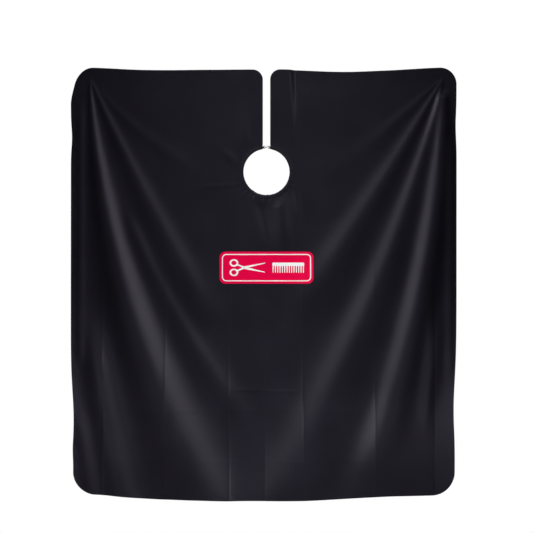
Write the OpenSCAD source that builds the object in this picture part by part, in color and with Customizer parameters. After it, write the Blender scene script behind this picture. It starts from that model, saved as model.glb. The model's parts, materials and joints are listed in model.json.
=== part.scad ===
// Barber cape, hung from its two top corners with the back slit upwards.
// Origin: centre of the neck opening. +Z up, X across the width, front (badge side) towards -Y.
// Sizes are millimetres.

/* [Cape] */
// Width of the hung cloth
cape_w = 1349; // [1200:1:1500]
// Height of the top corners above the centre of the neck opening
top_z = 365; // [330:1:420]
// How far the back slit's corners lie below the top corners
slit_drop = 10; // [0:1:25]
// Depth of the bottom edge's middle below the centre of the neck opening
bottom_drop = 1147; // [1000:1:1300]
// How far the bottom corners lie above the middle of the bottom edge
bottom_bow = 34; // [0:1:60]
// How far the hung cloth sits to the left of the neck opening
hang_shift = 10; // [0:1:20]
// Thickness of the cloth
cloth_t = 0.4; // [0.3:0.1:1]
// Radius of the top outer corners
top_r = 58; // [40:1:80]
// Radius of the bottom corners
bottom_r = 66; // [40:1:90]
// Radius of the two corners beside the back slit
slit_r = 35; // [20:1:45]
// Width of the back slit
slit_w = 27; // [24:1:40]

/* [Hem] */
// Width of the turned hem on the cloth's back
hem_w = 12; // [8:1:20]
// Thickness of the hem's two turned layers
hem_t = 0.8; // [0.5:0.1:1.2]
// Distance from the cloth's edge to the hem's stitching
stitch_inset = 10; // [6:0.5:11]
// Thickness of the sewing thread
thread_t = 0.6; // [0.4:0.1:1]

/* [Neckband] */
// Radius of the neck opening
neck_r = 80.5; // [76:0.5:90]
// Width of the neckband, measured away from the opening
band_w = 13.5; // [10:0.5:16]
// Thickness of the neckband, front to back
band_t = 3.2; // [2.6:0.1:4]
// Thickness of one wall of the neckband's casing
band_wall = 0.6; // [0.5:0.1:0.8]
// Width of the elastic inside the casing
elastic_w = 8.4; // [7:0.2:8.6]
// Thickness of the elastic
elastic_t = 1.6; // [1:0.1:1.8]

/* [Closure] */
// Radius of the hook's and the ring's held bars
bar_r = 1; // [0.8:0.1:1.2]
// Distance from the band's end to the hook's bar
hook_reach = 3.7; // [3.4:0.1:5]
// Distance from the band's end to the ring's bar
ring_reach = 2.6; // [2.5:0.1:3.5]
// Height of the wire frames that hold the bars
frame_h = 8.6; // [8.4:0.1:10.2]
// Distance from the ring's held bar to its free bar
ring_l = 4.4; // [4.2:0.1:5]

/* [Badge] */
// Width of the badge on the chest
badge_w = 328; // [250:1:360]
// Height of the badge
badge_h = 112; // [90:1:130]
// Height of the badge's middle below the centre of the neck opening
badge_drop = 335; // [310:1:360]
// Radius of the badge's corners
badge_r = 20; // [5:1:40]
// Thickness of the badge's film, and of the white film on it
film_t = 0.3; // [0.2:0.1:0.6]

/* [Folds] */
// Distance from the centre line to each point the folds hang from
hang_x = 620; // [580:1:640]
// Height of those points above the centre of the neck opening
hang_z = 333; // [300:1:350]
// Size of the cells that the draped surface is made of
cell = 40; // [36:1:60]

/* [Hidden] */

cloth_colour = [0.07, 0.07, 0.09];
hem_colour = [0.10, 0.10, 0.13];
band_colour = [0.12, 0.12, 0.15];
elastic_colour = [0.16, 0.16, 0.18];
thread_colour = [0.20, 0.20, 0.24];
metal_colour = [0.04, 0.04, 0.05];
red_colour = [0.80, 0.02, 0.12];
white_colour = [0.95, 0.95, 0.95];

left_x = -cape_w / 2 - hang_shift;
right_x = cape_w / 2 - hang_shift;
slit_x = slit_w / 2;
slit_z = top_z - slit_drop;
corner_z = bottom_bow - bottom_drop;
// half of the gap between the parts that fold against each other at the shoulder line
fold_gap = 0.3;
band_out_r = neck_r + band_w;
band_mid_r = neck_r + band_w / 2;
// the cloth's edge runs into the open outer side of the neckband's casing
cloth_neck_r = band_out_r - 2.5;
channel_in_r = neck_r + band_wall + 0.8;
channel_out_r = channel_in_r + elastic_w + 1;
// angle from the centre line at which the neckband ends beside the slit
band_end_a = asin(slit_x / band_mid_r);
// the elastic stops short of the band's end, where the loop's tail is sewn in
tail_l = 4;
elastic_end_a = asin((slit_x + tail_l + 1) / band_mid_r);
front_y = -cloth_t / 2;
// the drape stays between these two depths
deepest_y = -90;
backmost_y = 20;

// Swags of the hung cloth: sag at the centre line, half width there, height and roundness.
left_swags = [[450, 110, 16, 1.3], [830, 130, 44, 1.25], [1600, 340, 70, 1.5]];
right_swags = [[520, 110, 14, 1.1], [1040, 140, 44, 1.05], [1750, 320, 70, 1.25]];

// Sag, at the centre line, of the swag of a given roundness that passes through a point.
function sag_at(x, z, roundness) =
    let (share = min(abs(x) / hang_x, 0.995))
    (hang_z - z) / pow(1 - pow(share, roundness), 1 / roundness);

function swag(x, z, s) = s[2] * exp(-pow((sag_at(x, z, s[3]) - s[0]) / s[1], 2));

function swag_sum(x, z, swags, i = 0) =
    i == len(swags) ? 0 : swag(x, z, swags[i]) + swag_sum(x, z, swags, i + 1);

function smooth(t) = let (c = max(0, min(1, t))) c * c * (3 - 2 * c);

// Folds grow with the distance from the points they hang from.
function growth(x, z) = let (far = norm([abs(x) - hang_x, z - hang_z])) far / (far + 200);

// The cloth lies flat round the neckband and under the badge.
function calm(x, z) =
    let (beside = max(0, abs(x) - 230), below = max(0, -470 - z), above = max(0, z - 160))
    smooth(norm([beside, below, above]) / 160);

function drape(x, z) =
    let (right_share = smooth(x / 200 + 0.5))
    -growth(x, z) * calm(x, z)
    * ((1 - right_share) * swag_sum(x, z, left_swags) + right_share * swag_sum(x, z, right_swags));

// Layer that follows the draped surface over a rectangle, between two depths measured from it.
module draped_layer(low, high, near_y, far_y) {
    first_i = floor(low[0] / cell);
    first_j = floor(low[1] / cell);
    nx = ceil(high[0] / cell) - first_i;
    nz = ceil(high[1] / cell) - first_j;
    side = nx + 1;
    count = side * (nz + 1);
    grid = [for (j = [0:nz]) for (i = [0:nx]) [(first_i + i) * cell, (first_j + j) * cell]];
    points = [for (depth = [near_y, far_y]) for (p = grid) [p[0], drape(p[0], p[1]) + depth, p[1]]];
    front = [for (j = [0:nz - 1]) for (i = [0:nx - 1]) let (k = j * side + i)
        for (t = [[k, k + side, k + side + 1], [k, k + side + 1, k + 1]]) t];
    back = [for (t = front) [t[2] + count, t[1] + count, t[0] + count]];
    rim = concat([for (i = [0:nx - 1]) i], [for (j = [0:nz - 1]) nx + j * side],
                 [for (i = [0:nx - 1]) count - 1 - i], [for (j = [0:nz - 1]) (nz - j) * side]);
    sides = [for (n = [0:len(rim) - 1]) let (a = rim[n], b = rim[(n + 1) % len(rim)])
        for (t = [[a, b, b + count], [a, b + count, a + count]]) t];
    polyhedron(points, concat(front, back, sides));
}

// Stands a flat outline up in the XZ plane, between two depths.
module upright(near_y, far_y) {
    rotate([90, 0, 0]) translate([0, 0, -far_y]) linear_extrude(far_y - near_y) children();
}

function arc(centre, r, from, to) =
    [for (i = [0:6]) let (a = from + (to - from) * i / 6) centre + r * [cos(a), sin(a)]];

// Outline of the whole cape, drawn in by an inset, without the neck opening.
module cape_outline(inset) {
    polygon(concat(
        arc([left_x + top_r, top_z - top_r], top_r - inset, 180, 90),
        arc([-slit_x - slit_r, slit_z - slit_r], slit_r - inset, 90, 0),
        [[-slit_x - inset, 0], [slit_x + inset, 0]],
        arc([slit_x + slit_r, slit_z - slit_r], slit_r - inset, 180, 90),
        arc([right_x - top_r, top_z - top_r], top_r - inset, 90, 0),
        arc([right_x - bottom_r, corner_z + bottom_r], bottom_r - inset, 0, -90),
        [for (i = [1:9]) let (t = i / 5 - 1, x = right_x - bottom_r - (cape_w - 2 * bottom_r) * i / 10)
            [x, corner_z + inset - bottom_bow * (1 - t * t)]],
        arc([left_x + bottom_r, corner_z + bottom_r], bottom_r - inset, -90, -180)));
}

module inside(low, high) {
    translate(low) square(high - low);
}

// The three parts of the cape that fold against each other at the shoulder line.
front_box = [[left_x - 1, -bottom_drop - 1], [right_x + 1, -fold_gap]];
left_box = [[left_x - 1, fold_gap], [0, top_z + 1]];
right_box = [[0, fold_gap], [right_x + 1, top_z + 1]];

module draped_outline(box, near_y, far_y) {
    intersection() {
        draped_layer(box[0], box[1], near_y, far_y);
        upright(deepest_y, backmost_y) intersection() {
            children();
            inside(box[0], box[1]);
        }
    }
}

module cloth(box) {
    color(cloth_colour) draped_outline(box, front_y, -front_y) difference() {
        cape_outline(0);
        circle(r = cloth_neck_r, $fn = 96);
    }
}

module hem(box) {
    color(hem_colour) draped_outline(box, -front_y, -front_y + hem_t) difference() {
        cape_outline(0);
        cape_outline(hem_w);
        circle(r = band_out_r + 0.5, $fn = 96);
    }
}

module hem_stitching(box) {
    color(thread_colour) draped_outline(box, front_y - thread_t, front_y) difference() {
        cape_outline(stitch_inset);
        cape_outline(stitch_inset + thread_t);
        circle(r = band_out_r + 0.5, $fn = 96);
    }
}

// Turns a profile, drawn as distance from the axis against depth, round the neck opening.
module round_neck(from, to) {
    rotate([90, 0, 0]) rotate([0, 0, from]) rotate_extrude(angle = to - from, $fn = 96) children();
}

// Casing folded over the elastic, open on the outside where the cloth's edge runs in.
module casing_profile() {
    mouth = cloth_t + 0.2;
    difference() {
        translate([neck_r, -band_t / 2]) square([band_w, band_t]);
        translate([channel_in_r, band_wall - band_t / 2])
            square([channel_out_r - channel_in_r, band_t - 2 * band_wall]);
        translate([channel_out_r - 1, -mouth / 2]) square([band_w, mouth]);
    }
}

module elastic_profile() {
    translate([channel_in_r + 0.5, -elastic_t / 2]) square([elastic_w, elastic_t]);
}

module band_thread_profile() {
    translate([band_out_r - 1.5, (band_t + thread_t) / 2]) circle(d = thread_t, $fn = 16);
}

// The bend at the shoulder line leaves a small gap between the two parts of the band.
fold_a = asin(fold_gap / neck_r);
front_arc = [180 + fold_a, 360 - fold_a];

module neckband(span) {
    color(band_colour) round_neck(span[0], span[1]) casing_profile();
}

module elastic(span) {
    color(elastic_colour) round_neck(span[0], span[1]) elastic_profile();
}

module neckband_stitching(span) {
    color(thread_colour) round_neck(span[0], span[1]) band_thread_profile();
}

function left_arc(end_a) = [90 + end_a, 180 - fold_a];
function right_arc(end_a) = [fold_a, 90 - end_a];

// Height of the closure's middle: where the band's middle meets the slit.
closure_z = sqrt(band_mid_r * band_mid_r - slit_x * slit_x);
loop_h = 6.4;
loop_t = 0.6;
loop_bore_r = bar_r + 0.08;
hook_bar_x = -slit_x + hook_reach;
ring_bar_x = slit_x - ring_reach;

module upright_rod(x, r, h) {
    translate([x, 0, closure_z - h / 2]) cylinder(r = r, h = h, $fn = 48);
}

module level_rod(from_x, to_x, z, r) {
    translate([from_x, 0, z]) rotate([0, 90, 0]) cylinder(r = r, h = to_x - from_x, $fn = 48);
}

// Tape folded round a bar, with its tail running back into the neckband.
module tape_loop(bar_x, tail_x) {
    low_x = min(bar_x, tail_x);
    difference() {
        union() {
            upright_rod(bar_x, loop_bore_r + loop_t, loop_h);
            translate([low_x, -loop_t, closure_z - loop_h / 2]) cube([abs(tail_x - bar_x), 2 * loop_t, loop_h]);
        }
        upright_rod(bar_x, loop_bore_r, loop_h + 2);
    }
}

// Two rows of stitches that close the tape round its bar.
module bartack(x) {
    for (row = [-0.35, 0.35], face = [-1, 1])
        translate([x + row, face * (loop_t + 0.15), closure_z - loop_h / 2 + 0.5])
            cylinder(r = 0.15, h = loop_h - 1, $fn = 16);
}

// Wire frame: the bar that the tape goes round, two rails and a second bar.
module wire_frame(bar_x, far_x, wire_r) {
    rail_z = frame_h / 2;
    upright_rod(bar_x, bar_r, frame_h);
    upright_rod(far_x, wire_r, frame_h);
    for (side = [-1, 1]) {
        level_rod(min(bar_x, far_x), max(bar_x, far_x), closure_z + side * rail_z, wire_r);
        for (x = [bar_x, far_x]) translate([x, 0, closure_z + side * rail_z]) sphere(r = bar_r, $fn = 32);
    }
}

module front_panel() {
    cloth(front_box);
}

module left_back_flap() {
    cloth(left_box);
}

module right_back_flap() {
    cloth(right_box);
}

module front_hem() {
    hem(front_box);
}

module left_flap_hem() {
    hem(left_box);
}

module right_flap_hem() {
    hem(right_box);
}

module hook_loop() {
    color(band_colour) tape_loop(hook_bar_x, -slit_x - tail_l);
}

module hook_loop_bartack() {
    color(thread_colour) bartack(-slit_x + 1.1);
}

// Wire hook: a frame on the loop's bar and a tongue that curls up to a ball at its tip.
module closure_hook() {
    frame_x = hook_bar_x + 4.2;
    curl_r = 2.7;
    curl_x = hook_bar_x + 9.6;
    tongue_r = 1.1;
    tip_r = 1.4;
    color(metal_colour) {
        wire_frame(hook_bar_x, frame_x, 0.8);
        level_rod(frame_x, curl_x, closure_z, tongue_r);
        translate([curl_x, 0, closure_z + curl_r]) rotate([90, 0, 0]) rotate([0, 0, -90])
            rotate_extrude(angle = 140, $fn = 48) translate([curl_r, 0]) circle(r = tongue_r, $fn = 24);
        translate([curl_x + curl_r * cos(50), 0, closure_z + curl_r + curl_r * sin(50)])
            sphere(r = tip_r, $fn = 32);
    }
}

module ring_loop() {
    color(band_colour) tape_loop(ring_bar_x, slit_x + tail_l);
}

module ring_loop_bartack() {
    color(thread_colour) bartack(slit_x - 0.4);
}

// Wire ring that the hook catches in.
module closure_ring() {
    color(metal_colour) wire_frame(ring_bar_x, ring_bar_x - ring_l, 0.8);
}

module rounded_label(w, h, r) {
    hull() for (x = [-1, 1], z = [-1, 1]) translate([x * (w / 2 - r), z * (h / 2 - r)]) circle(r = r, $fn = 32);
}

// Open scissors, blades to the right.
module scissors() {
    for (side = [-1, 1]) mirror([0, side > 0 ? 1 : 0]) {
        rotate(12) polygon([[-20, -3], [70, -1], [66, 4], [-20, 3.5]]);
        translate([-32, -17]) difference() {
            circle(r = 12.5, $fn = 40);
            circle(r = 7.5, $fn = 32);
        }
        rotate(24) translate([-26, -2.6]) square([24, 5.2]);
    }
}

// Comb: a spine with a row of teeth under it.
module comb(length, teeth) {
    pitch = length / teeth;
    translate([-length / 2, 6]) square([length, 8]);
    for (i = [0:teeth]) translate([-length / 2 + i * (length - pitch * 0.45) / teeth, -12])
        square([pitch * 0.45, 19]);
}

module badge() {
    color(red_colour) upright(front_y - film_t, front_y)
        translate([0, -badge_drop]) rounded_label(badge_w, badge_h, badge_r);
}

module badge_motif() {
    line = 3.5;
    inset = 8;
    color(white_colour) upright(front_y - 2 * film_t, front_y - film_t) translate([0, -badge_drop]) {
        difference() {
            rounded_label(badge_w - 2 * inset, badge_h - 2 * inset, badge_r - inset / 2);
            rounded_label(badge_w - 2 * (inset + line), badge_h - 2 * (inset + line),
                          badge_r - inset / 2 - line / 2);
        }
        translate([-70, 0]) scissors();
        translate([78, -1]) comb(110, 17);
    }
}

front_panel();
left_back_flap();
right_back_flap();
front_hem();
left_flap_hem();
right_flap_hem();
hem_stitching(front_box);  // front_hem_stitching
hem_stitching(left_box);  // left_flap_stitching
hem_stitching(right_box);  // right_flap_stitching
neckband(front_arc);  // neckband_front
neckband(left_arc(band_end_a));  // neckband_left
neckband(right_arc(band_end_a));  // neckband_right
elastic(front_arc);  // elastic_front
elastic(left_arc(elastic_end_a));  // elastic_left
elastic(right_arc(elastic_end_a));  // elastic_right
neckband_stitching(front_arc);  // neckband_stitching_front
neckband_stitching(left_arc(band_end_a));  // neckband_stitching_left
neckband_stitching(right_arc(band_end_a));  // neckband_stitching_right
hook_loop();
hook_loop_bartack();
closure_hook();
ring_loop();
ring_loop_bartack();
closure_ring();
badge();
badge_motif();
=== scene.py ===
"""Barber cape hung by its top corners: cloth, hems, neckband, closure and badge round the CAD frame."""
import json
import math

import bpy
import numpy as np
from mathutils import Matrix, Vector


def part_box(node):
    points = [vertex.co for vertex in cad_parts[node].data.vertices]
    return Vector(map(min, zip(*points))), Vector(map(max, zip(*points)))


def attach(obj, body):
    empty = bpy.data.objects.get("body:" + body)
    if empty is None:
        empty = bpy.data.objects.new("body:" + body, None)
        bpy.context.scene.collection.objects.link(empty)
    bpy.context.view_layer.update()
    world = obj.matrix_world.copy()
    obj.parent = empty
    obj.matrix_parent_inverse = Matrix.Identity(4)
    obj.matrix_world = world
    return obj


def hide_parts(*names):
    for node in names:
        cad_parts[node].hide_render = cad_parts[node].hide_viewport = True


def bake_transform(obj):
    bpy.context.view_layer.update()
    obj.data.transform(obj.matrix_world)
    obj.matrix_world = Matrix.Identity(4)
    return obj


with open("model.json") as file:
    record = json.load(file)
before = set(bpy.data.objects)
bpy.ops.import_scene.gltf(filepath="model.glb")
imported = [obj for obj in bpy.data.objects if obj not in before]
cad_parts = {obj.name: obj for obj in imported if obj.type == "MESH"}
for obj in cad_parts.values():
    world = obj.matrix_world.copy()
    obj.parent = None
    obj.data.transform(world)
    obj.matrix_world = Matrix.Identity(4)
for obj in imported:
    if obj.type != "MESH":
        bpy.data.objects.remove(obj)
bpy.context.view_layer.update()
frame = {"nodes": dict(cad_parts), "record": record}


def corners(node):
    """Low and high corner of a CAD node's box, in metres."""
    low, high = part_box(node)
    return np.array(low), np.array(high)


# ---------------------------------------------------------------- sizes, in metres

FRONT_LOW, FRONT_HIGH = corners("front_panel")
FLAP_HIGH = corners("left_back_flap")[1]
BAND_LOW, BAND_HIGH = corners("neckband_front")
BADGE_LOW, BADGE_HIGH = corners("badge")

LEFT_X = FRONT_LOW[0]
RIGHT_X = FRONT_HIGH[0]
BOTTOM_Z = FRONT_LOW[2]
TOP_Z = FLAP_HIGH[2]
SLIT_X = -FLAP_HIGH[0]  # half of the slit's width

NECK_R = frame["record"]["mounts"][0]["dims"]["r_mm"] / 1000
BAND_OUT_R = BAND_HIGH[0]
BAND_T = BAND_HIGH[1] - BAND_LOW[1]
BAND_W = BAND_OUT_R - NECK_R
BAND_MID_R = NECK_R + BAND_W / 2
CLOSURE_Z = math.sqrt(BAND_MID_R**2 - SLIT_X**2)  # where the middle of the casing ends at the slit

# Radii of the outline's upper and lower corners, and of those where the slit meets the top edge.
UPPER_R = 0.058
LOWER_R = 0.081
SLIT_R = 0.035
NECK_OVERLAP = 0.0015  # the cloth reaches this far in under the casing

CLOTH_T = 0.0005
HEM_BACK = 0.0017  # the hem's back lies this far behind the cloth's front face
STITCH_INSET = 0.010
THREAD_R = 0.00026
FILM_T = 0.0003

# The cloth's mesh is finer between these places, round the neck.
FINE_X = (-0.17, 0.17)
FINE_Z = (-0.17, 0.13)
# Share of its thickness that the casing has in its first rings, where it is pinched flat at the slit.
BAND_PINCH = [0.55, 0.82, 0.94, 0.99]

# The camera's field: its width at the cape's plane, and its centre.
VIEW_SIZE = 1.8655
VIEW_X, VIEW_Z = 0.0, -0.331
CAMERA_AWAY = 6.5


# ---------------------------------------------------------------- flat shapes

def smooth(t):
    """0 to 1 as t goes from 0 to 1, level at both ends."""
    t = np.clip(t, 0, 1)
    return t * t * (3 - 2 * t)


def bump(t):
    """1 where t is 0, and fading to 0 on both sides."""
    return np.exp(-t * t)


def round_join(a, b, r):
    """Distance to the overlap of two shapes, with the corner between them rounded."""
    u, v = np.maximum(a + r, 0), np.maximum(b + r, 0)
    return np.minimum(np.maximum(a, b), -r) + np.hypot(u, v)


def box_shape(x, z, half_w, half_h, r):
    """Distance to a rectangle with round corners."""
    u, v = np.abs(x) - half_w + r, np.abs(z) - half_h + r
    return np.hypot(np.maximum(u, 0), np.maximum(v, 0)) + np.minimum(np.maximum(u, v), 0) - r


def rod_shape(x, z, start, end, start_r, end_r):
    """Distance to a tapered bar with round ends."""
    dx, dz = end[0] - start[0], end[1] - start[1]
    share = np.clip(((x - start[0]) * dx + (z - start[1]) * dz) / (dx * dx + dz * dz), 0, 1)
    gap = np.hypot(x - start[0] - share * dx, z - start[1] - share * dz)
    return gap - (start_r + (end_r - start_r) * share)


def top_edge(x):
    """The top edge drops from the corners, and sags further in the middle of the right flap."""
    drop = 0.0078 * smooth((0.64 - np.abs(x)) / 0.22)
    return TOP_Z - drop - 0.0014 * bump((x + 0.35) / 0.10) - 0.0078 * bump((x - 0.27) / 0.15)


def bottom_edge(x):
    """The bottom edge rises towards both corners, sooner on the right."""
    left_rise = 0.003 * smooth((-x - 0.12) / 0.12) + 0.0165 * smooth((-x - 0.36) / 0.26)
    return BOTTOM_Z + left_rise + 0.017 * smooth((x - 0.12) / 0.34)


def left_edge(z):
    """The left edge draws in over its lower part, a little above the shoulder, and most at its top."""
    pull = 0.010 * bump((z + 0.87) / 0.14) + 0.004 * bump((z - 0.12) / 0.05)
    return LEFT_X + pull + 0.006 * smooth((-z - 0.95) / 0.1) + 0.021 * smooth((z - 0.235) / 0.12)


def right_edge(z):
    """The right edge draws in over its lower part, and a little above the shoulder."""
    pull = 0.010 * bump((z + 0.84) / 0.16) + 0.003 * bump((z - 0.16) / 0.06)
    return RIGHT_X - pull - 0.006 * smooth((-z - 0.9) / 0.2)


def cape_shape(x, z):
    """Distance outside the cape's outline, slit and neck opening; negative inside."""
    top, bottom = z - top_edge(x), bottom_edge(x) - z
    left, right = left_edge(z) - x, x - right_edge(z)
    upper = np.maximum(round_join(top, left, UPPER_R), round_join(top, right, UPPER_R))
    lower = np.maximum(round_join(bottom, left, LOWER_R), round_join(bottom, right, LOWER_R))
    slit = np.where(z > 0, round_join(top, SLIT_X - np.abs(x), SLIT_R), -1.0)
    hole = BAND_OUT_R - NECK_OVERLAP - np.hypot(x, z)
    return np.maximum.reduce([upper, lower, slit, hole])


def gradient(shape, x, z, step=1e-5):
    """Direction in which the distance to a shape grows fastest."""
    gx = (shape(x + step, z) - shape(x - step, z)) / (2 * step)
    gz = (shape(x, z + step) - shape(x, z - step)) / (2 * step)
    size = np.maximum(np.hypot(gx, gz), 1e-9)
    return gx / size, gz / size


# ---------------------------------------------------------------- the drape

# The folds hang from these two points, near the top corners.
HANG_X, HANG_Z = 0.620, 0.333
# One row a fold: angle below the level at the hang point (degrees), degrees that it turns back in
# each metre, half width at 1 m, how fast it widens, steepness, and where it starts and ends (metres).
LEFT_FOLDS = [
    (54.0, 26.0, 0.050, 0.8, 0.12, 0.05, 0.66),
    (66.8, 3.2, 0.062, 0.9, 0.36, 0.00, 1.05),
    (79.5, 10.5, 0.036, 1.0, 0.34, 0.45, 1.45),
    (87.0, 8.0, 0.078, 1.0, 0.60, 0.00, 1.90),
    (94.5, 6.0, 0.042, 1.0, 0.58, 0.80, 1.90),
]
RIGHT_FOLDS = [
    (44.0, 4.0, 0.080, 1.0, 0.18, 0.00, 0.55),
    (61.2, 2.2, 0.080, 1.0, 0.38, 0.00, 1.05),
    (76.6, 4.8, 0.074, 1.0, 0.46, 0.00, 1.90),
    (89.3, 7.0, 0.060, 0.5, 0.66, 0.04, 1.54),
    (90.0, 5.8, 0.130, 1.0, 0.36, 1.10, 2.10),
    (94.0, 6.0, 0.030, 0.6, 0.42, 0.75, 1.35),
]
# Short soft folds: from, to, half width, height (below 0 for a valley) and how far each end fades.
SHORT_FOLDS = [
    ((0.100, 0.360), (0.116, 0.060), 0.008, 0.0014, 0.12),
    ((0.050, -0.060), (0.062, -0.250), 0.030, 0.0085, 0.14),
    ((-0.030, -0.080), (0.008, -0.230), 0.020, -0.0050, 0.12),
    ((0.098, -0.050), (0.116, -0.150), 0.011, -0.0026, 0.09),
    ((-0.105, 0.030), (-0.150, 0.075), 0.016, 0.0036, 0.09),
    ((-0.070, 0.100), (-0.085, 0.190), 0.018, 0.0036, 0.12),
    ((-0.220, -0.052), (-0.105, -0.045), 0.008, 0.0012, 0.09),
    ((-0.650, 0.220), (-0.652, -0.660), 0.015, 0.0040, 0.09),
    ((0.646, 0.100), (0.640, -0.700), 0.016, 0.0045, 0.09),
    ((-0.655, -0.850), (-0.600, -1.200), 0.030, 0.0080, 0.16),
    ((0.575, -0.480), (0.560, -0.860), 0.018, 0.0045, 0.16),
]
# Pressed lines from the cape's packing. Upright ones: place, and 1 for a ridge or -1 for a valley.
UPRIGHT_CREASES = [
    (-0.573, 1), (-0.356, 1), (-0.131, 1), (-0.004, -1), (0.128, 1), (0.377, 1), (0.588, -1),
]
# Level ones: height, reach to each side, and depth.
LEVEL_CREASES = [
    (-0.527, 0.26, 0.25), (-0.765, 0.130, 1.0), (-0.838, 0.50, 0.35), (-1.010, 0.62, 0.30),
]
# The corners beside the slit: side, how far the top leans out, how far from the slit, and how softly.
SLIT_LEANS = [(-1, 0.008, 0.200, 0.130), (1, 0.022, 0.118, 0.024)]
# Slight unevenness of the whole cloth: waves across and down (radians in a metre), and height (mm).
RUMPLE_WAVES = [
    (3.1, 1.7, 3.0), (5.3, 2.2, 1.4), (9.7, 4.1, 0.7), (15.1, 6.3, 0.40),
    (7.9, 12.7, 0.45), (23.0, 11.0, 0.16), (31.0, 19.0, 0.08),
]


def swags(x, z, side, folds):
    """Height of the folds that hang from one corner; side is -1 for the left one."""
    dx, dz = HANG_X - side * x, HANG_Z - z
    r = np.hypot(dx, dz) + 1e-6
    angle = np.degrees(np.arctan2(dz, dx))
    flatter = 1 - 0.35 * smooth((r - 0.8) / 0.7)  # far from its corner every fold is lower
    height = np.zeros_like(x)
    for at, turn, width, spread, steep, start, end in folds:
        half = width * r**spread + 0.003
        across = r * np.radians(angle - at + turn * r)
        shown = smooth((r - start) / (0.25 * start + 0.03)) * smooth((end - r) / 0.35)
        height += steep * half * bump(across / half) * shown
    return height * flatter


def short_folds(x, z):
    """Height of the short folds, each of which fades out at both ends."""
    height = np.zeros_like(x)
    for start, end, half, tall, fade in SHORT_FOLDS:
        dx, dz = end[0] - start[0], end[1] - start[1]
        length = math.hypot(dx, dz)
        along = ((x - start[0]) * dx + (z - start[1]) * dz) / length
        across = ((x - start[0]) * dz - (z - start[1]) * dx) / length
        shown = smooth(along / fade + 0.5) * smooth((length - along) / fade + 0.5)
        height += tall * bump(across / half) * shown
    return height


def slit_corners(x, z):
    """The corners beside the slit lean out, up to a soft line that runs down to the neckband."""
    height = np.zeros_like(x)
    for side, lean, reach, soft in SLIT_LEANS:
        within = smooth((reach - 0.05 * (z - 0.04) - side * x) / soft) * (side * x > 0)
        height += lean * smooth((z - 0.05) / 0.36) * within
    return height


def creases(x, z):
    """Height of the pressed lines, which waver slightly; the upright ones are faint at the top."""
    height = np.zeros_like(x)
    for place, way in UPRIGHT_CREASES:
        off = np.abs(x - place - 0.002 * np.sin(z * 7 + place * 20))
        shown = 0.15 + 0.85 * smooth((-z - 0.2) / 0.5)
        height += way * shown * (0.0007 * np.exp(-off / 0.004) + 0.0010 * np.exp(-off / 0.030))
    for place, reach, depth in LEVEL_CREASES:
        off = np.abs(z - place - 0.002 * np.sin(x * 6 + place * 20))
        height += depth * smooth((reach - np.abs(x)) / 0.04) * 0.0012 * np.exp(-off / 0.006)
    return height


def puckers(x, z):
    """Fine gathers that the neck elastic pulls up, deepest at the bottom of the neckband."""
    turn = np.arctan2(z, x)
    out = np.maximum(np.hypot(x, z) - BAND_OUT_R, 0)
    ripple = np.sin(31 * turn + 1.7 * np.sin(3 * turn)) + 0.5 * np.sin(53 * turn + 2.1)
    deep = 0.00025 + 0.00075 * smooth(-z / BAND_OUT_R)
    return deep * ripple * np.exp(-out / 0.010)


def rumple(x, z):
    """Slight unevenness of the whole cloth."""
    height = np.zeros_like(x)
    for k, (fx, fz, tall) in enumerate(RUMPLE_WAVES):
        wave_x = np.sin(fx * x + 1.3 * k + 1.2 * np.sin(fz * z + k))
        wave_z = np.cos(fz * z * 1.3 + 0.7 * k)
        height += tall * wave_x * wave_z
    return 0.001 * height


def edge_play(x, z):
    """Slight scallops along the stitched hem, left out close to the neckband."""
    inside = -cape_shape(x, z)
    scallop = 0.0003 * np.sin((x + z) * 95 + 3 * np.sin((x + z) * 11))
    shown = bump((inside - STITCH_INSET) / 0.010)
    return np.where(np.hypot(x, z) < BAND_OUT_R + 0.03, 0, scallop * shown)


def cloth_height(x, z):
    """How far the cloth stands out in front of the neckband's plane."""
    r = np.hypot(x, z)
    falls = swags(x, z, -1, LEFT_FOLDS) + swags(x, z, 1, RIGHT_FOLDS) + rumple(x, z)
    lines = short_folds(x, z) + slit_corners(x, z) + creases(x, z)
    calm = smooth((r - BAND_OUT_R) / 0.22)  # the big folds die away towards the neckband
    near = smooth((r - BAND_OUT_R) / 0.04)
    return falls * calm + lines * near + puckers(x, z) + edge_play(x, z)


def cloth_surface(x, z, lift):
    """Points on the cloth's front face, lifted off it along its normal, and the normals there."""
    step = 5e-4
    gx = (cloth_height(x + step, z) - cloth_height(x - step, z)) / (2 * step)
    gz = (cloth_height(x, z + step) - cloth_height(x, z - step)) / (2 * step)
    normal = np.stack([-gx, -np.ones_like(x), -gz], axis=1)
    normal /= np.linalg.norm(normal, axis=1)[:, None]
    points = np.stack([x, -cloth_height(x, z), z], axis=1)
    return points + normal * np.broadcast_to(lift, x.shape)[:, None], normal


# ---------------------------------------------------------------- meshes

def make_mesh(name, points, faces, normals=None):
    """New smooth-shaded object."""
    mesh = bpy.data.meshes.new(name)
    mesh.from_pydata(points.tolist(), [], faces)
    mesh.polygons.foreach_set("use_smooth", [True] * len(mesh.polygons))
    if normals is not None:
        mesh.normals_split_custom_set_from_vertices(normals.tolist())
    mesh.update()
    obj = bpy.data.objects.new(name, mesh)
    bpy.context.scene.collection.objects.link(obj)
    return obj


def facing_out(points, faces):
    """The faces of closed, evenly wound shells, all turned so that they face out."""
    fans = np.array([[f[0], f[k], f[k + 1]] for f in faces for k in range(1, len(f) - 1)])
    a, b, c = (points[fans[:, k]] for k in range(3))
    volume = np.einsum("ij,ij->", a, np.cross(b, c))
    return faces if volume > 0 else [f[::-1] for f in faces]


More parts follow.
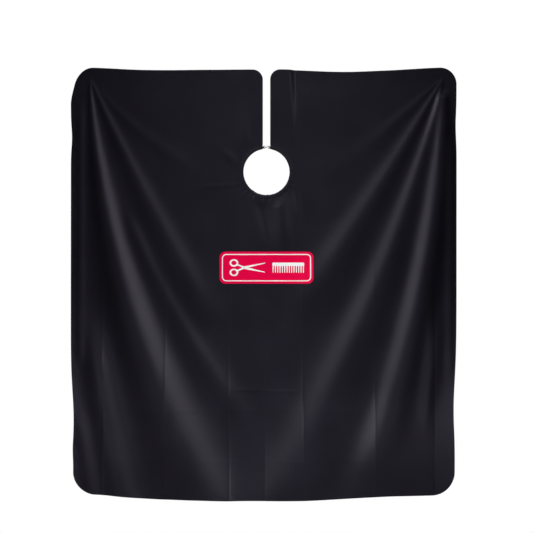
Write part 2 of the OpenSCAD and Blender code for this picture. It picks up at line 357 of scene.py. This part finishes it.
def tube_faces(count, sides):
    """Faces of a closed tube through a number of rings, with flat ends."""
    faces = []
    for low in range(0, (count - 1) * sides, sides):
        for k in range(sides):
            n = (k + 1) % sides
            faces.append([low + k, low + n, low + sides + n, low + sides + k])
    last = (count - 1) * sides
    faces.append(list(range(sides))[::-1])
    faces.append(list(range(last, last + sides)))
    return faces


def tube(name, rings):
    """Closed tube through rings of points, (rings, points in each, 3)."""
    points = rings.reshape(-1, 3)
    faces = facing_out(points - points.mean(axis=0), tube_faces(*rings.shape[:2]))
    return make_mesh(name, points, faces)


def stitches(name, centres, along, up, length, radius):
    """One mesh of short rounded threads that dip into the cloth at both ends."""
    sides = 5
    rows = [(-0.5, 0.35), (-0.2, 1.0), (0.2, 1.0), (0.5, 0.35)]  # place along it, share of its radius
    across = np.cross(along, up)
    turn = np.arange(sides)[None, :, None] * 2 * np.pi / sides
    rings = []
    for place, share in rows:
        middle = centres + along * (place * length) - up * (radius * 0.6 * (2 * place) ** 2)
        off = np.cos(turn) * up[:, None, :] + np.sin(turn) * across[:, None, :]
        rings.append(middle[:, None, :] + radius * share * off)
    points = np.stack(rings, axis=1).reshape(-1, 3)
    each = sides * len(rings)
    one = facing_out(points[:each] - points[:each].mean(axis=0), tube_faces(len(rings), sides))
    faces = [[v + base for v in f] for base in range(0, len(points), each) for f in one]
    return make_mesh(name, points, faces)


def spaced(start, end, near, coarse, fine):
    """Grid lines from start to end, close together between the two near places and wider elsewhere."""
    widening = 0.12
    lines = [start]
    while lines[-1] < end - 1e-9:
        away = max(near[0] - lines[-1], lines[-1] - near[1], 0)
        lines.append(lines[-1] + fine + (coarse - fine) * float(smooth(away / widening)))
    lines = np.array(lines)
    return start + (lines - start) * (end - start) / (lines[-1] - start)


def trimmed_grid(xs, zs, shape):
    """Grid that fills a flat shape: points near the shape's edge are moved onto it."""
    nx = len(xs)
    x, z = (a.ravel() for a in np.meshgrid(xs, zs))
    gap_x, gap_z = (a.ravel() for a in np.meshgrid(np.gradient(xs), np.gradient(zs)))
    first, last = x == xs[0], x == xs[-1]
    reach = 0.52  # points up to this share of a cell from the edge are moved
    on_edge = np.abs(shape(x, z)) < reach * np.maximum(gap_x, gap_z)
    for _ in range(3):
        off = shape(x, z)
        gx, gz = gradient(shape, x, z)
        x = np.where(on_edge, x - off * gx, x)
        z = np.where(on_edge, z - off * gz, z)
    x = np.where(first, xs[0], np.where(last, xs[-1], x))
    inside = on_edge | (shape(x, z) < 0)
    low = (np.arange(len(zs) - 1)[:, None] * nx + np.arange(nx - 1)).ravel()
    quads = np.stack([low, low + 1, low + nx + 1, low + nx], axis=1)
    held = inside[quads]
    enough = held.sum(axis=1) >= 3
    faces = [q[h].tolist() for q, h in zip(quads[enough], held[enough])]
    used = np.unique(np.concatenate(faces))
    number = np.full(len(x), -1)
    number[used] = np.arange(len(used))
    return x[used], z[used], [number[f].tolist() for f in faces]


def border(faces):
    """Edges that only one face uses, in the direction in which it runs along them."""
    directed = {(a, b) for f in faces for a, b in zip(f, f[1:] + f[:1])}
    return [e for e in directed if (e[1], e[0]) not in directed]


def shell(name, grid, front_lift, back_lift):
    """Closed thin sheet on the drape, between two lifts off the cloth's front face."""
    x, z, faces = grid
    front, normal = cloth_surface(x, z, front_lift)
    back, _ = cloth_surface(x, z, back_lift)
    n = len(x)
    backs = [[v + n for v in reversed(f)] for f in faces]
    rim = [[a, a + n, b + n, b] for a, b in sorted(border(faces))]
    return make_mesh(name, np.vstack([front, back]), faces + backs + rim, np.vstack([normal, -normal]))


def finer(full):
    return full


# ---------------------------------------------------------------- cloth and hems

def cloth_half(name, side):
    """Half of the cape's cloth, which meets the other half along the middle crease."""
    margin = 0.012
    low, high = (LEFT_X - margin, 0.0) if side < 0 else (0.0, RIGHT_X + margin)
    fine, coarse = finer(0.0030), finer(0.0048)
    xs = spaced(low, high, FINE_X, coarse, fine)
    zs = spaced(BOTTOM_Z - margin, TOP_Z + margin, FINE_Z, coarse, fine)
    return shell(name, trimmed_grid(xs, zs, cape_shape), 0.0, -CLOTH_T)


def outline_walk(side, inset, step):
    """Points along half of the cape's outline, drawn in by an inset, from the middle of the bottom
    round to the neckband, and the direction into the cloth at each."""
    at = np.array([0.0, bottom_edge(0.0) + inset])
    way = np.array([float(side), 0.0])
    points, inwards = [], []
    stop_r = BAND_OUT_R + inset + 0.003
    while np.hypot(*at) > stop_r:
        for _ in range(3):
            out = np.array(gradient(cape_shape, *at))
            at = at - (float(cape_shape(*at)) + inset) * out
        points.append(at)
        inwards.append(-out)
        along = np.array([-out[1], out[0]])
        way = along if along @ way > 0 else -along
        at = at + way * step
    end_x, end_r = SLIT_X + inset, BAND_OUT_R - 0.001
    points.append(np.array([side * end_x, math.sqrt(end_r**2 - end_x**2)]))
    inwards.append(np.array([float(side), 0.0]))
    return np.array(points), np.array(inwards)


def hem_profile():
    """Distance in from the cloth's edge and depth behind its front face, round the folded edge."""
    fold_in, fold_deep, fold_r = 0.0002, 0.0008, 0.0009
    turns = np.linspace(-np.pi / 2, np.pi / 2, 7)
    nose = [(fold_in - fold_r * math.cos(a), fold_deep + fold_r * math.sin(a)) for a in turns]
    back = [(0.004, HEM_BACK), (0.008, HEM_BACK - 0.0001), (0.0112, HEM_BACK - 0.0001)]
    inner = [(0.0120, HEM_BACK - 0.0005), (0.0118, 0.0008), (0.006, 0.0006), (0.0012, 0.0006)]
    return nose + back + inner


def hem_half(name, side):
    """Edge of the cloth turned twice to the back."""
    path, inward = outline_walk(side, 0.0, finer(0.004))
    wave = 0.00012 * np.sin(np.arange(len(path)) * 1.9)  # the back isn't quite flat
    rings = []
    for inset, depth in hem_profile():
        x, z = (path + inward * inset).T
        lift = -depth - (wave if depth > 0.001 else 0)
        rings.append(cloth_surface(x, z, lift)[0])
    return tube(name, np.stack(rings, axis=1))


def unit_steps(points):
    """Direction of travel along a row of points."""
    along = np.gradient(points, axis=0)
    return along / np.linalg.norm(along, axis=1)[:, None]


def hem_stitch_half(name, side):
    """Lockstitch through the hem, seen on both faces; it stops short of the neckband."""
    pitch, length, proud = 0.0034, 0.0027, 0.00012
    x, z = outline_walk(side, STITCH_INSET, pitch)[0][:-1].T
    front, normal = cloth_surface(x, z, proud)
    back, _ = cloth_surface(x, z, -HEM_BACK)
    centres, up = np.vstack([front, back]), np.vstack([normal, -normal])
    along = unit_steps(front)
    return stitches(name, centres, np.vstack([along, along]), up, length, THREAD_R)


# ---------------------------------------------------------------- neckband

def band_angles(side, step, short=0.0):
    """Angles round the neck, from the slit (or short of it) down to the middle of the front."""
    start = math.asin(SLIT_X / BAND_MID_R) + short / BAND_MID_R
    count = int((math.pi - start) * BAND_MID_R / step)
    return np.pi / 2 - side * np.linspace(start, math.pi, count)


def pleats(angle):
    """Uneven ripples of the gathered casing, from -1 to 1."""
    wobble = angle + 0.05 * np.sin(7 * angle) + 0.03 * np.sin(19 * angle + 1)
    return 0.65 * np.sin(62 * wobble) + 0.35 * np.sin(97 * wobble + 2)


def band_surface(angle, across, face):
    """Point on the casing: across is -1 at the opening and 1 outside; face is -1 in front, 1 behind."""
    ripple = pleats(angle)
    lower = 0.3 + 0.7 * smooth((0.1 - np.sin(angle)) / 0.9)  # the gathers are deepest at the bottom
    gather = 0.0009 * lower * ripple * smooth((0.2 - across) / 1.2)
    radius = BAND_MID_R + BAND_W / 2 * across - gather
    thick = BAND_T / 2 * (1 - abs(across) ** 3.2) ** (1 / 2.6)
    thick = thick * (1 + 0.22 * ripple * (1 - across**2))
    return np.stack([radius * np.cos(angle), face * thick, radius * np.sin(angle)], axis=-1)


def neckband_half(name, side):
    """Gathered casing, pinched flat where it ends at the slit."""
    angles = band_angles(side, finer(0.0011))
    around = np.cos(np.linspace(np.pi, 0, 15))
    rings = [band_surface(angles, a, -1) for a in around]
    rings += [band_surface(angles, a, 1) for a in around[-2:0:-1]]
    rings = np.stack(rings, axis=1)
    pinch = np.ones(len(angles))
    pinch[:len(BAND_PINCH)] = BAND_PINCH
    rings[:, :, 1] *= pinch[:, None]
    return tube(name, rings)


def squarish(turn, power_u, power_v):
    """Point at a turn round an outline between an ellipse and a box, each way from -1 to 1."""
    u = np.sign(np.cos(turn)) * abs(np.cos(turn)) ** power_u
    v = np.sign(np.sin(turn)) * abs(np.sin(turn)) ** power_v
    return u, v


def elastic_half(name, side):
    """Ribbed elastic inside the casing; it stops where the loop's tail is sewn in."""
    angles = band_angles(side, finer(0.0009), short=0.006)
    half_w, half_t = 0.0042, 0.0007
    middle_r = BAND_MID_R - 0.0006
    rib = 1 + 0.12 * np.sin(np.arange(len(angles)) * 2.4)
    rings = []
    for turn in np.linspace(0, 2 * np.pi, 16, endpoint=False):
        u, v = squarish(turn, 0.5, 0.6)
        radius = middle_r + half_w * u
        ring = [radius * np.cos(angles), half_t * v * rib, radius * np.sin(angles)]
        rings.append(np.stack(ring, axis=1))
    return tube(name, np.stack(rings, axis=1))


def band_stitch_half(name, side):
    """Topstitch round the outer edge of the casing, on both faces."""
    pitch, length, proud = 0.0030, 0.0022, 0.00008
    across = 0.72
    angles = band_angles(side, pitch, short=0.0020)
    centres, along, up = [], [], []
    for face in (-1, 1):
        row = band_surface(angles, across, face)
        centres.append(row + np.array([0, face * proud, 0]))
        along.append(unit_steps(row))
        up.append(np.tile([0.0, float(face), 0.0], (len(angles), 1)))
    return stitches(name, np.vstack(centres), np.vstack(along), np.vstack(up), length, THREAD_R)


# ---------------------------------------------------------------- closure

def tape_loop(name, node, way):
    """Tape folded round a wire bar, both ends running back into the casing; way points to the bar."""
    low, high = corners(node)
    outer_r, layer, half_t = 0.00168, 0.00030, 0.00026
    tail, tip = (low[0], high[0]) if way > 0 else (high[0], low[0])
    bar = tip - way * outer_r
    wrap_r = outer_r - layer
    straight = (0.0, 0.3, 0.55)  # shares of the way from the tail to the bar
    lead = [(tail + share * (bar - tail), -layer) for share in straight]
    turns = np.radians(range(-125, 126, 10))
    wrap = [(bar + way * wrap_r * math.cos(a), wrap_r * math.sin(a)) for a in turns]
    path = np.array(lead + wrap + [(x, -y) for x, y in lead[::-1]])
    along = unit_steps(path)
    out = np.stack([-along[:, 1], along[:, 0]], axis=1)
    half_h = (high[2] - low[2]) / 2
    rings = []
    for turn in np.linspace(0, 2 * np.pi, 24, endpoint=False):
        u, v = squarish(turn, 0.35, 0.7)
        spot = path + out * (v * half_t)
        level = np.full(len(path), CLOSURE_Z + u * half_h)
        rings.append(np.stack([spot[:, 0], spot[:, 1], level], axis=1))
    return tube(name, np.stack(rings, axis=1))


def bartack(name, node):
    """Close zigzag stitches through both layers of tape, just short of the bar."""
    low, high = corners(node)
    steps, proud, length, thread_r = 8, 0.00062, 0.00095, 0.00016
    heights = np.linspace(low[2], high[2], 2 * steps + 1)[1::2]
    centres, along, up = [], [], []
    for face in (-1, 1):
        for x in np.linspace(low[0] + 0.0002, high[0] - 0.0002, 3):
            for k, z in enumerate(heights):
                centres.append((x, face * proud, z))
                along.append((0.3 * (-1) ** k, 0, 1))
                up.append((0, face, 0))
    along = np.array(along, float)
    along /= np.linalg.norm(along, axis=1)[:, None]
    return stitches(name, np.array(centres), along, np.array(up, float), length, thread_r)


# ---------------------------------------------------------------- badge

BADGE_Z = (BADGE_LOW[2] + BADGE_HIGH[2]) / 2
BADGE_HALF_W = (BADGE_HIGH[0] - BADGE_LOW[0]) / 2
BADGE_HALF_H = (BADGE_HIGH[2] - BADGE_LOW[2]) / 2
BADGE_R = 0.020
LINE_INSET, LINE_HALF, LINE_R = 0.0098, 0.0018, BADGE_R - 0.006
SCISSORS_X, COMB_X = -0.078, 0.076


def badge_shape(x, z):
    """Rectangle with round corners."""
    return box_shape(x, z - BADGE_Z, BADGE_HALF_W, BADGE_HALF_H, BADGE_R)


def scissors_shape(x, z):
    """Open scissors, blades to the right."""
    parts = []
    for s in (-1, 1):
        parts.append(rod_shape(x, z, (-0.004, -0.0005 * s), (0.072, 0.0160 * s), 0.0042, 0.0012))
        parts.append(rod_shape(x, z, (0.004, 0.001 * s), (-0.024, -0.0105 * s), 0.0030, 0.0026))
        parts.append(np.abs(np.hypot((x + 0.036) * 0.85, z + 0.0165 * s) - 0.0105) - 0.0026)
    return np.minimum.reduce(parts)


def comb_shape(x, z):
    """Comb with its teeth down."""
    half_l, gaps, end = 0.056, 13, 0.003
    pitch = 2 * (half_l - end) / gaps
    nearest = np.clip(np.round((x + half_l - end) / pitch), 0, gaps) * pitch - half_l + end
    tooth = rod_shape(x - nearest, z, (0, 0.010), (0, -0.0165), 0.0021, 0.0015)
    return np.minimum(box_shape(x, z - 0.012, half_l, 0.0058, 0.004), tooth)


def motif_shape(x, z):
    """Line round the badge, scissors and a comb."""
    z = z - BADGE_Z
    inner = box_shape(x, z, BADGE_HALF_W - LINE_INSET, BADGE_HALF_H - LINE_INSET, LINE_R)
    line = np.abs(inner) - LINE_HALF
    return np.minimum.reduce([line, scissors_shape(x - SCISSORS_X, z), comb_shape(x - COMB_X, z)])


def film(name, shape, gap, low_lift, high_lift):
    """Thin film pressed onto the cloth, filling a flat shape within the badge's box."""
    xs = np.arange(BADGE_LOW[0] - 2 * gap, BADGE_HIGH[0] + 2.5 * gap, gap)
    zs = np.arange(BADGE_LOW[2] - 2 * gap, BADGE_HIGH[2] + 2.5 * gap, gap)
    return shell(name, trimmed_grid(xs, zs, shape), high_lift, low_lift)


# ---------------------------------------------------------------- materials

def new_material(name):
    """New material; gives its nodes, links, object coordinates, shader and itself."""
    mat = bpy.data.materials.new(name)
    mat.use_nodes = True
    nodes, links = mat.node_tree.nodes, mat.node_tree.links
    place = nodes.new("ShaderNodeTexCoord")
    return nodes, links, place.outputs["Object"], nodes["Principled BSDF"], mat


def noise(nodes, links, place, scale, detail):
    """Cloudy pattern from 0 to 1."""
    texture = nodes.new("ShaderNodeTexNoise")
    texture.inputs["Scale"].default_value = scale
    texture.inputs["Detail"].default_value = detail
    links.new(place, texture.inputs["Vector"])
    return texture.outputs["Fac"]


def tone(nodes, links, factor, dark, light):
    """Colour that goes from dark to light as the factor rises."""
    ramp = nodes.new("ShaderNodeValToRGB")
    first, last = ramp.color_ramp.elements
    first.position, last.position = 0.35, 0.7
    first.color, last.color = (*dark, 1), (*light, 1)
    links.new(factor, ramp.inputs["Fac"])
    return ramp.outputs["Color"]


def between(nodes, links, factor, low, high):
    """Value that goes from low to high as the factor rises."""
    spread = nodes.new("ShaderNodeMapRange")
    spread.inputs["To Min"].default_value = low
    spread.inputs["To Max"].default_value = high
    links.new(factor, spread.inputs["Value"])
    return spread.outputs["Result"]


def relief(nodes, links, height, strength, distance):
    """Fine unevenness of the surface, finer than the mesh."""
    dents = nodes.new("ShaderNodeBump")
    dents.inputs["Strength"].default_value = strength
    dents.inputs["Distance"].default_value = distance
    links.new(height, dents.inputs["Height"])
    return dents.outputs["Normal"]


def weave(nodes, links, place, scale):
    """Fine threads both ways."""
    threads = []
    for direction in ("X", "Z"):
        wave = nodes.new("ShaderNodeTexWave")
        wave.bands_direction = direction
        wave.inputs["Scale"].default_value = scale
        wave.inputs["Distortion"].default_value = 0.6
        links.new(place, wave.inputs["Vector"])
        threads.append(wave.outputs["Fac"])
    cross = nodes.new("ShaderNodeMath")
    cross.operation = "MULTIPLY"
    links.new(threads[0], cross.inputs[0])
    links.new(threads[1], cross.inputs[1])
    return cross.outputs[0]


def cloth_material(name, dark, light, roughness, threads=700):
    """Woven polyester: fine threads, faint mottling and a soft bluish sheen."""
    nodes, links, place, bsdf, mat = new_material(name)
    mottle = noise(nodes, links, place, scale=9, detail=6)
    rough = between(nodes, links, mottle, roughness - 0.04, roughness + 0.05)
    woven = weave(nodes, links, place, threads)
    links.new(tone(nodes, links, mottle, dark, light), bsdf.inputs["Base Color"])
    links.new(rough, bsdf.inputs["Roughness"])
    dents = relief(nodes, links, woven, strength=0.15, distance=0.0002)
    links.new(dents, bsdf.inputs["Normal"])
    bsdf.inputs["Specular IOR Level"].default_value = 0.19
    bsdf.inputs["Specular Tint"].default_value = (0.92, 0.88, 1, 1)
    bsdf.inputs["Sheen Weight"].default_value = 0.02
    bsdf.inputs["Sheen Roughness"].default_value = 0.45
    bsdf.inputs["Sheen Tint"].default_value = (0.62, 0.60, 0.95, 1)
    return mat


def film_material(name, colour, roughness):
    """Heat-pressed film with a fine grain and a soft gloss."""
    nodes, links, place, bsdf, mat = new_material(name)
    grain = noise(nodes, links, place, scale=500, detail=3)
    darker = [c * 0.88 for c in colour]
    rough = between(nodes, links, grain, roughness - 0.05, roughness + 0.08)
    links.new(tone(nodes, links, grain, darker, colour), bsdf.inputs["Base Color"])
    links.new(rough, bsdf.inputs["Roughness"])
    dents = relief(nodes, links, grain, strength=0.15, distance=0.0002)
    links.new(dents, bsdf.inputs["Normal"])
    bsdf.inputs["Specular IOR Level"].default_value = 0.05
    return mat


def wire_material(name):
    """Black lacquered steel wire, worn a little unevenly."""
    nodes, links, place, bsdf, mat = new_material(name)
    wear = noise(nodes, links, place, scale=700, detail=4)
    colour = tone(nodes, links, wear, (0.008, 0.008, 0.009), (0.018, 0.018, 0.020))
    links.new(colour, bsdf.inputs["Base Color"])
    links.new(between(nodes, links, wear, 0.22, 0.42), bsdf.inputs["Roughness"])
    bsdf.inputs["Coat Weight"].default_value = 0.4
    return mat


def dress(node, material):
    """Gives a CAD node its finished material."""
    slot = frame["nodes"][node].material_slots[0]
    slot.link = "OBJECT"
    slot.material = material


# ---------------------------------------------------------------- studio

# Gridded softboxes that cross from both sides: height they aim at, left and right power (watts).
CROSS_LIGHTS = [(0.20, 1.56, 1.24), (-0.35, 1.16, 1.04), (-0.85, 1.16, 1.10), (-1.30, 1.40, 1.36)]


def white_world():
    """Plain white where the camera sees it, and a faint even light on the object."""
    world = bpy.data.worlds.new("studio")
    bpy.context.scene.world = world
    world.use_nodes = True
    nodes, links = world.node_tree.nodes, world.node_tree.links
    lit, seen = nodes["Background"], nodes.new("ShaderNodeBackground")
    lit.inputs["Color"].default_value = (1, 1, 1, 1)
    lit.inputs["Strength"].default_value = 0.064
    seen.inputs["Color"].default_value = (1, 1, 1, 1)
    path, mix = nodes.new("ShaderNodeLightPath"), nodes.new("ShaderNodeMixShader")
    links.new(path.outputs["Is Camera Ray"], mix.inputs["Fac"])
    links.new(lit.outputs[0], mix.inputs[1])
    links.new(seen.outputs[0], mix.inputs[2])
    links.new(mix.outputs[0], nodes["World Output"].inputs["Surface"])


def softbox(name, place, aim, size, power, spread):
    """Square softbox; a grid narrows its beam to the spread, in degrees."""
    data = bpy.data.lights.new(name, "AREA")
    data.size, data.energy, data.spread = size, power, math.radians(spread)
    lamp = bpy.data.objects.new(name, data)
    lamp.location = place
    lamp.visible_camera = False
    lamp.rotation_euler = (Vector(aim) - Vector(place)).to_track_quat("-Z", "Y").to_euler()
    bpy.context.scene.collection.objects.link(lamp)


def floor():
    """Pale round floor under the cape, below the camera's field."""
    sides, radius, level = 96, 2.0, -1.6
    turn = np.linspace(0, 2 * np.pi, sides, endpoint=False)
    rim = np.stack([radius * np.cos(turn), radius * np.sin(turn), np.full(sides, level)], axis=1)
    disc = make_mesh("floor", rim, [list(range(sides))])
    nodes, links, place, bsdf, mat = new_material("floor")
    grain = noise(nodes, links, place, scale=3, detail=4)
    colour = tone(nodes, links, grain, (0.80, 0.80, 0.80), (0.84, 0.84, 0.84))
    links.new(colour, bsdf.inputs["Base Color"])
    disc.data.materials.append(mat)


def camera():
    """Camera straight in front of the cape, framing the field."""
    sensor = 36
    data = bpy.data.cameras.new("camera")
    data.sensor_width = sensor
    data.lens = sensor * CAMERA_AWAY / VIEW_SIZE
    obj = bpy.data.objects.new("camera", data)
    obj.location = (VIEW_X, -CAMERA_AWAY, VIEW_Z)
    obj.rotation_euler = (math.pi / 2, 0, 0)
    bpy.context.scene.collection.objects.link(obj)
    bpy.context.scene.camera = obj


def studio():
    """White surroundings, lights, floor and camera."""
    bpy.context.scene.view_settings.view_transform = "Standard"
    white_world()
    softbox("overhead", (0.0, -3.2, 4.0), (0, 0, -0.7), size=2.0, power=9.6, spread=80)
    for level, (height, left_power, right_power) in enumerate(CROSS_LIGHTS):
        for side, word, power in ((-1, "left", left_power), (1, "right", right_power)):
            place, aim = (side * 1.5, -1.3, height + 0.9), (-side * 0.55, 0, height)
            softbox(f"{word}_cross_{level}", place, aim, size=0.5, power=power, spread=33)
    for side, word in ((-1, "left"), (1, "right")):
        place, aim = (side * 1.0, -3.0, -0.6), (side * 0.78, 0, -0.88)
        softbox(f"{word}_low", place, aim, size=0.4, power=0.32, spread=15)
    softbox("behind", (0.0, 3.5, 2.0), (0, 0, -0.4), size=2.4, power=84, spread=120)
    floor()
    camera()


# ---------------------------------------------------------------- putting it together

BLACK, SOFT_BLACK = (0.0068, 0.0060, 0.0104), (0.0086, 0.0077, 0.0132)
THREAD_DARK, THREAD_LIGHT = (0.0066, 0.0066, 0.0086), (0.0092, 0.0092, 0.0118)
TAPE_DARK, TAPE_LIGHT = (0.005, 0.005, 0.0065), (0.0075, 0.0075, 0.0095)
CLOTH = cloth_material("cape cloth", BLACK, SOFT_BLACK, roughness=0.50)
TURNED_CLOTH = cloth_material("turned cloth", BLACK, SOFT_BLACK, roughness=0.58)
THREAD = cloth_material("thread", THREAD_DARK, THREAD_LIGHT, roughness=0.5, threads=1500)
TAPE = cloth_material("loop tape", TAPE_DARK, TAPE_LIGHT, roughness=0.6, threads=1200)
RED = film_material("red film", (0.80, 0.0005, 0.060), roughness=0.5)
WHITE = film_material("white film", (0.94, 0.94, 0.94), roughness=0.45)
WIRE = wire_material("black wire")

# Pieces made as a left and a right half: maker, name, material, slot, flap's node, front's node.
BENDING = [
    (cloth_half, "cape_cloth", CLOTH, "cape_cloth", "{}_back_flap", "front_panel"),
    (hem_half, "hem", TURNED_CLOTH, "hem_cloth", "{}_flap_hem", "front_hem"),
    (hem_stitch_half, "hem_stitching", THREAD, "thread", "{}_flap_stitching", "front_hem_stitching"),
    (neckband_half, "neckband_casing", TURNED_CLOTH, "band_cloth", "neckband_{}", "neckband_front"),
    (elastic_half, "neck_elastic", TAPE, "elastic", "elastic_{}", "elastic_front"),
    (band_stitch_half, "neckband_topstitch", THREAD, "thread", "neckband_stitching_{}",
     "neckband_stitching_front"),
]


def place_piece(obj, material, nodes):
    """Gives a piece its material, in place of its CAD nodes, which it hides."""
    obj.data.materials.append(material)
    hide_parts(*nodes)
    return obj


def bending_half(row, word, side):
    """One half of a piece that is made as a left and a right half."""
    maker, base, material, slot, flap_node, front_node = row
    nodes = [flap_node.format(word)] + ([front_node] if side < 0 else [])
    obj = place_piece(maker(f"{base}_{word}", side), material, nodes)
    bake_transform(obj)
    return obj


def side_pieces(word, side, fastener):
    """Everything on one side of the cape."""
    made = [bending_half(row, word, side) for row in BENDING]
    loop = tape_loop(f"{fastener}_tape_loop", f"{fastener}_loop", -side)
    place_piece(loop, TAPE, [f"{fastener}_loop"])
    tack = bartack(f"{fastener}_tape_bartack", f"{fastener}_loop_bartack")
    place_piece(tack, THREAD, [f"{fastener}_loop_bartack"])
    for obj in (loop, tack):
        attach(obj, f"{word}_flap")
    dress(f"closure_{fastener}", WIRE)


def badge_pieces():
    """Red film on the cloth, and the white film on the red one."""
    glue = 0.00005
    base = film("badge_film", badge_shape, finer(0.003), glue, FILM_T)
    place_piece(base, RED, ["badge"])
    motif = film("badge_motif_film", motif_shape, finer(0.0010), FILM_T, 2 * FILM_T)
    place_piece(motif, WHITE, ["badge_motif"])
    for obj in (base, motif):
        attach(obj, "front")


studio()
side_pieces("left", -1, "hook")
side_pieces("right", 1, "ring")
badge_pieces()
